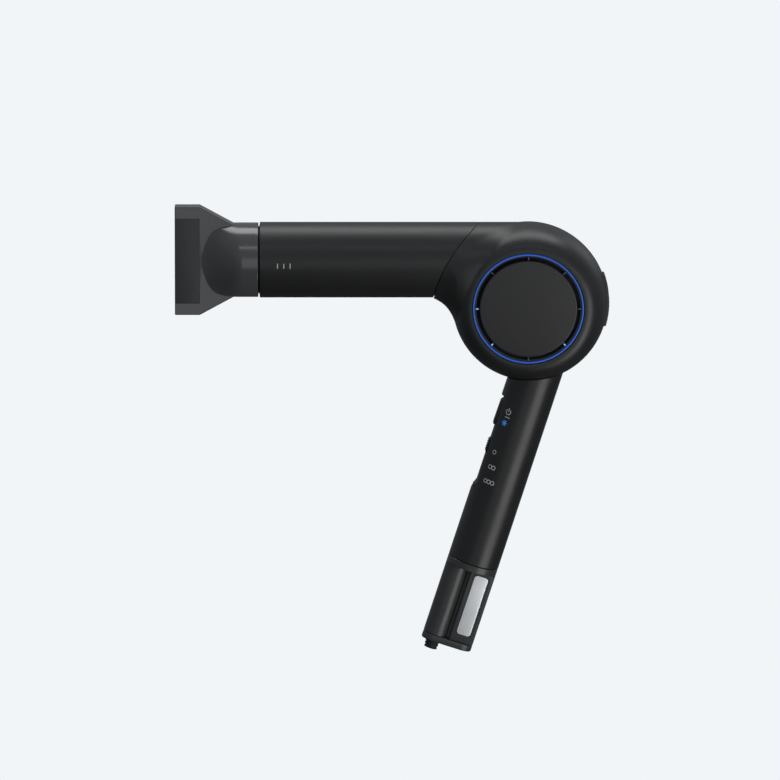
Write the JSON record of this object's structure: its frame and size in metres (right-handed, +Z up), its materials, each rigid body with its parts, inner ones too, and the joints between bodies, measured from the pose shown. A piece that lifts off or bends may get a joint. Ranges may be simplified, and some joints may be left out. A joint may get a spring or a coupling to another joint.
{
  "type": "hair dryer",
  "caption": "Slim hand-held hair dryer: round barrel, volute head with a lit side intake on each face, leaning handle with switches, flat turning nozzle.",
  "frame": {"origin": "on the handle's axis, in the middle of the grip, where a hand holds the dryer", "axes": "+Z up with the barrel level, -X the way the air blows, +Y the dryer's right side; the handle leans 18 degrees, its lower end towards the nozzle"},
  "size_m": [0.2562, 0.052, 0.268],
  "materials": {
    "shell": "fine-grained charcoal",
    "handle": "satin charcoal",
    "nozzle": "satin dark grey",
    "band": "satin dark grey",
    "panel": "matte black",
    "button": "matte black",
    "grille": "satin dark grey",
    "inner": "as moulded",
    "light": "blue light guide",
    "foam": "open-cell foam",
    "steel": "plain",
    "black_steel": "black oxide",
    "silver": "satin",
    "mica": "mica board",
    "board": "circuit board",
    "rubber": "matte"
  },
  "bodies": {
    "dryer": {"head_shell_left": "shell", "head_shell_right": "shell", "barrel_sleeve": "shell", "intake_grille_left": "grille", "intake_grille_right": "grille", "light_ring_left": "light", "light_ring_right": "light", "intake_filter_left": "foam", "intake_filter_right": "foam", "motor_mount": "inner", "motor_stator": "steel", "motor_bearing_1": "steel", "motor_bearing_2": "steel", "mount_screw_1": "steel", "mount_screw_2": "steel", "mount_screw_3": "steel", "mode_switch": "inner", "barrel_magnet_ring": "black_steel", "outlet_collar": "black_steel", "outlet_grille": "inner", "heater_tube": "mica", "heater_cross": "mica", "heater_coil": "steel", "thermal_fuse": "steel", "thermostat": "steel", "ion_emitter": "inner", "handle_tube": "handle", "handle_collar": "inner", "handle_band": "band", "control_panel": "panel", "switch_board": "board", "power_switch": "inner", "speed_switch": "inner", "tail_bar": "band", "tail_plate": "band", "tail_inlay_left": "silver", "tail_inlay_right": "silver", "end_cap": "band", "end_screw": "steel", "cord_gland": "rubber", "control_board": "board", "filter_capacitor": "inner", "inner_lead": "rubber"},
    "nozzle": {"nozzle_shell": "nozzle", "nozzle_magnet_ring": "black_steel"},
    "fan": {"motor_shaft": "steel", "impeller": "inner"},
    "mode_button": {"mode_button": "button"},
    "power_button": {"power_button": "button"},
    "speed_slider": {"speed_slider": "button"}
  },
  "joints": [
    {"name": "nozzle_spin", "type": "hinge", "parent": "dryer", "child": "nozzle", "pos_m": [-0.13396, 0, 0.15971], "axis": [-1, 0, 0], "continuous": true},
    {"name": "fan_spin", "type": "hinge", "parent": "dryer", "child": "fan", "pos_m": [0.02514, 0, 0.13465], "axis": [0, 1, 0], "continuous": true},
    {"name": "mode_press", "type": "slide", "parent": "dryer", "child": "mode_button", "axis": [-1, 0, 0], "range_m": [0, 0.001], "stiffness_N_per_m": 150, "springref_m": -0.002},
    {"name": "power_press", "type": "slide", "parent": "dryer", "child": "power_button", "axis": [0.9511, 0, -0.3089], "range_m": [0, 0.001], "stiffness_N_per_m": 150, "springref_m": -0.002},
    {"name": "speed_slide", "type": "slide", "parent": "dryer", "child": "speed_slider", "axis": [-0.3089, 0, -0.9511], "range_m": [0, 0.015]}
  ]
}
